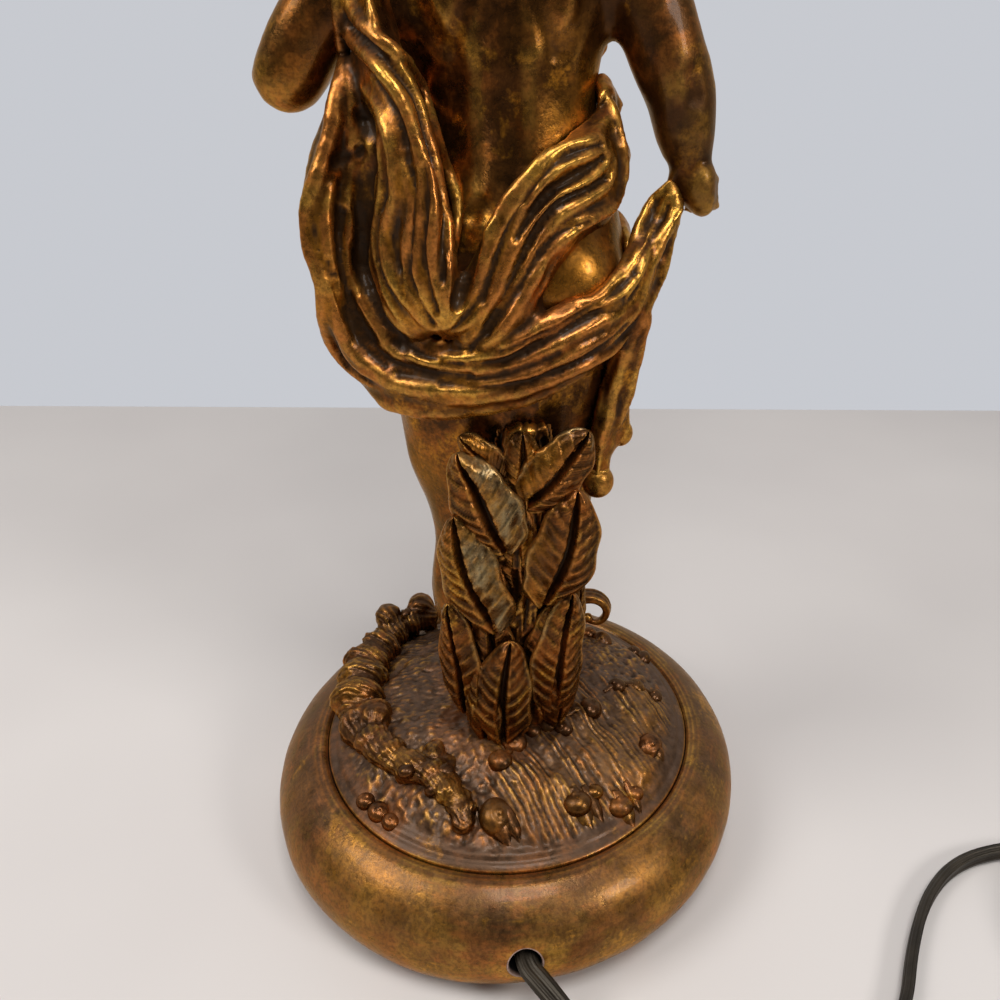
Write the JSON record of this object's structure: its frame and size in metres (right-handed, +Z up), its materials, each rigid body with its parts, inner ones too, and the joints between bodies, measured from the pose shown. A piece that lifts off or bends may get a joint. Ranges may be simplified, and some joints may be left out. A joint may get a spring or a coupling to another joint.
{
  "type": "figural table lamp",
  "caption": "Figural table lamp: draped standing figure in bronze finish on a domed round base, with brass socket, thumbscrew gallery, upturned glass shade, mains lead and plug.",
  "frame": {"origin": "centre of the round base's underside, on the surface the lamp stands on", "axes": "+Z up along the lamp's pipe; the figure faces +Y; the mains lead leaves the base at -Y"},
  "size_m": [0.3482, 0.2218, 0.5335],
  "materials": {
    "bronze_patina": "antique bronze lacquer over cast resin metal, rubbed copper and gold highlights, dusty recesses",
    "aged_brass": "aged lacquered brass",
    "plated_steel": "zinc plated steel",
    "fibre_board": "dark pressed fibre board",
    "green_felt": "dark green felt",
    "pale_bushing": "pale plastic bushing",
    "cord_sheath": "dark brown ribbed flex",
    "tie_strap": "black strap",
    "brown_moulding": "dark brown moulded plastic",
    "plug_moulding": "dark brown moulded plug",
    "opal_glass": "opal glass, satin outside",
    "cap_metal": "lamp cap",
    "bulb_envelope": "frosted bulb"
  },
  "bodies": {
    "root": {"base_plinth": "bronze_patina", "base_cover": "fibre_board", "felt_pad": "green_felt", "cord_bushing": "pale_bushing", "lamp_pipe": "plated_steel", "clamp_disc": "plated_steel", "flat_washer": "plated_steel", "lock_washer": "plated_steel", "pipe_nut": "plated_steel", "inner_lead": "cord_sheath", "ground_mound": "bronze_patina", "figure_body": "bronze_patina", "figure_head": "bronze_patina", "right_arm": "bronze_patina", "left_arm": "bronze_patina", "shoulder_shawl": "bronze_patina", "side_drape": "bronze_patina", "lower_swag": "bronze_patina", "hip_sash": "bronze_patina", "drape_tail": "bronze_patina", "bodice_wrap": "bronze_patina", "front_swag": "bronze_patina", "skirt_fall": "bronze_patina", "leaf_spray": "bronze_patina", "vine_garland": "bronze_patina", "grape_berries": "bronze_patina", "scroll_frond": "bronze_patina", "head_cap": "aged_brass", "neck_spacer": "aged_brass", "check_ring": "aged_brass", "socket_cap": "aged_brass", "set_screw": "plated_steel", "socket_shell": "aged_brass", "insulating_sleeve": "fibre_board", "socket_body": "brown_moulding", "terminal_screws": "plated_steel", "screw_shell": "plated_steel", "centre_contact": "aged_brass", "shade_gallery": "aged_brass", "glass_shade": "opal_glass", "bulb_cap": "cap_metal", "bulb_glass": "bulb_envelope", "power_cord": "cord_sheath", "cord_coil": "cord_sheath", "coil_tie": "tie_strap", "plug_lead": "cord_sheath", "plug_body": "plug_moulding", "plug_blades": "aged_brass"},
    "switch": {"switch_spindle": "aged_brass", "switch_knob": "brown_moulding"},
    "screw_1": {"thumbscrew_1": "aged_brass"},
    "screw_2": {"thumbscrew_2": "aged_brass"},
    "screw_3": {"thumbscrew_3": "aged_brass"}
  },
  "joints": [
    {"name": "switch_turn", "type": "hinge", "parent": "root", "child": "switch", "pos_m": [0.02048, 0.00955, 0.3975], "axis": [0.9063, 0.4226, 0], "continuous": true},
    {"name": "screw_slide_1", "type": "slide", "parent": "root", "child": "screw_1", "axis": [0, 1, 0], "range_m": [0, 0.003]},
    {"name": "screw_slide_2", "type": "slide", "parent": "root", "child": "screw_2", "axis": [-0.866, -0.5, 0], "range_m": [0, 0.003]},
    {"name": "screw_slide_3", "type": "slide", "parent": "root", "child": "screw_3", "axis": [0.866, -0.5, 0], "range_m": [0, 0.003]}
  ]
}
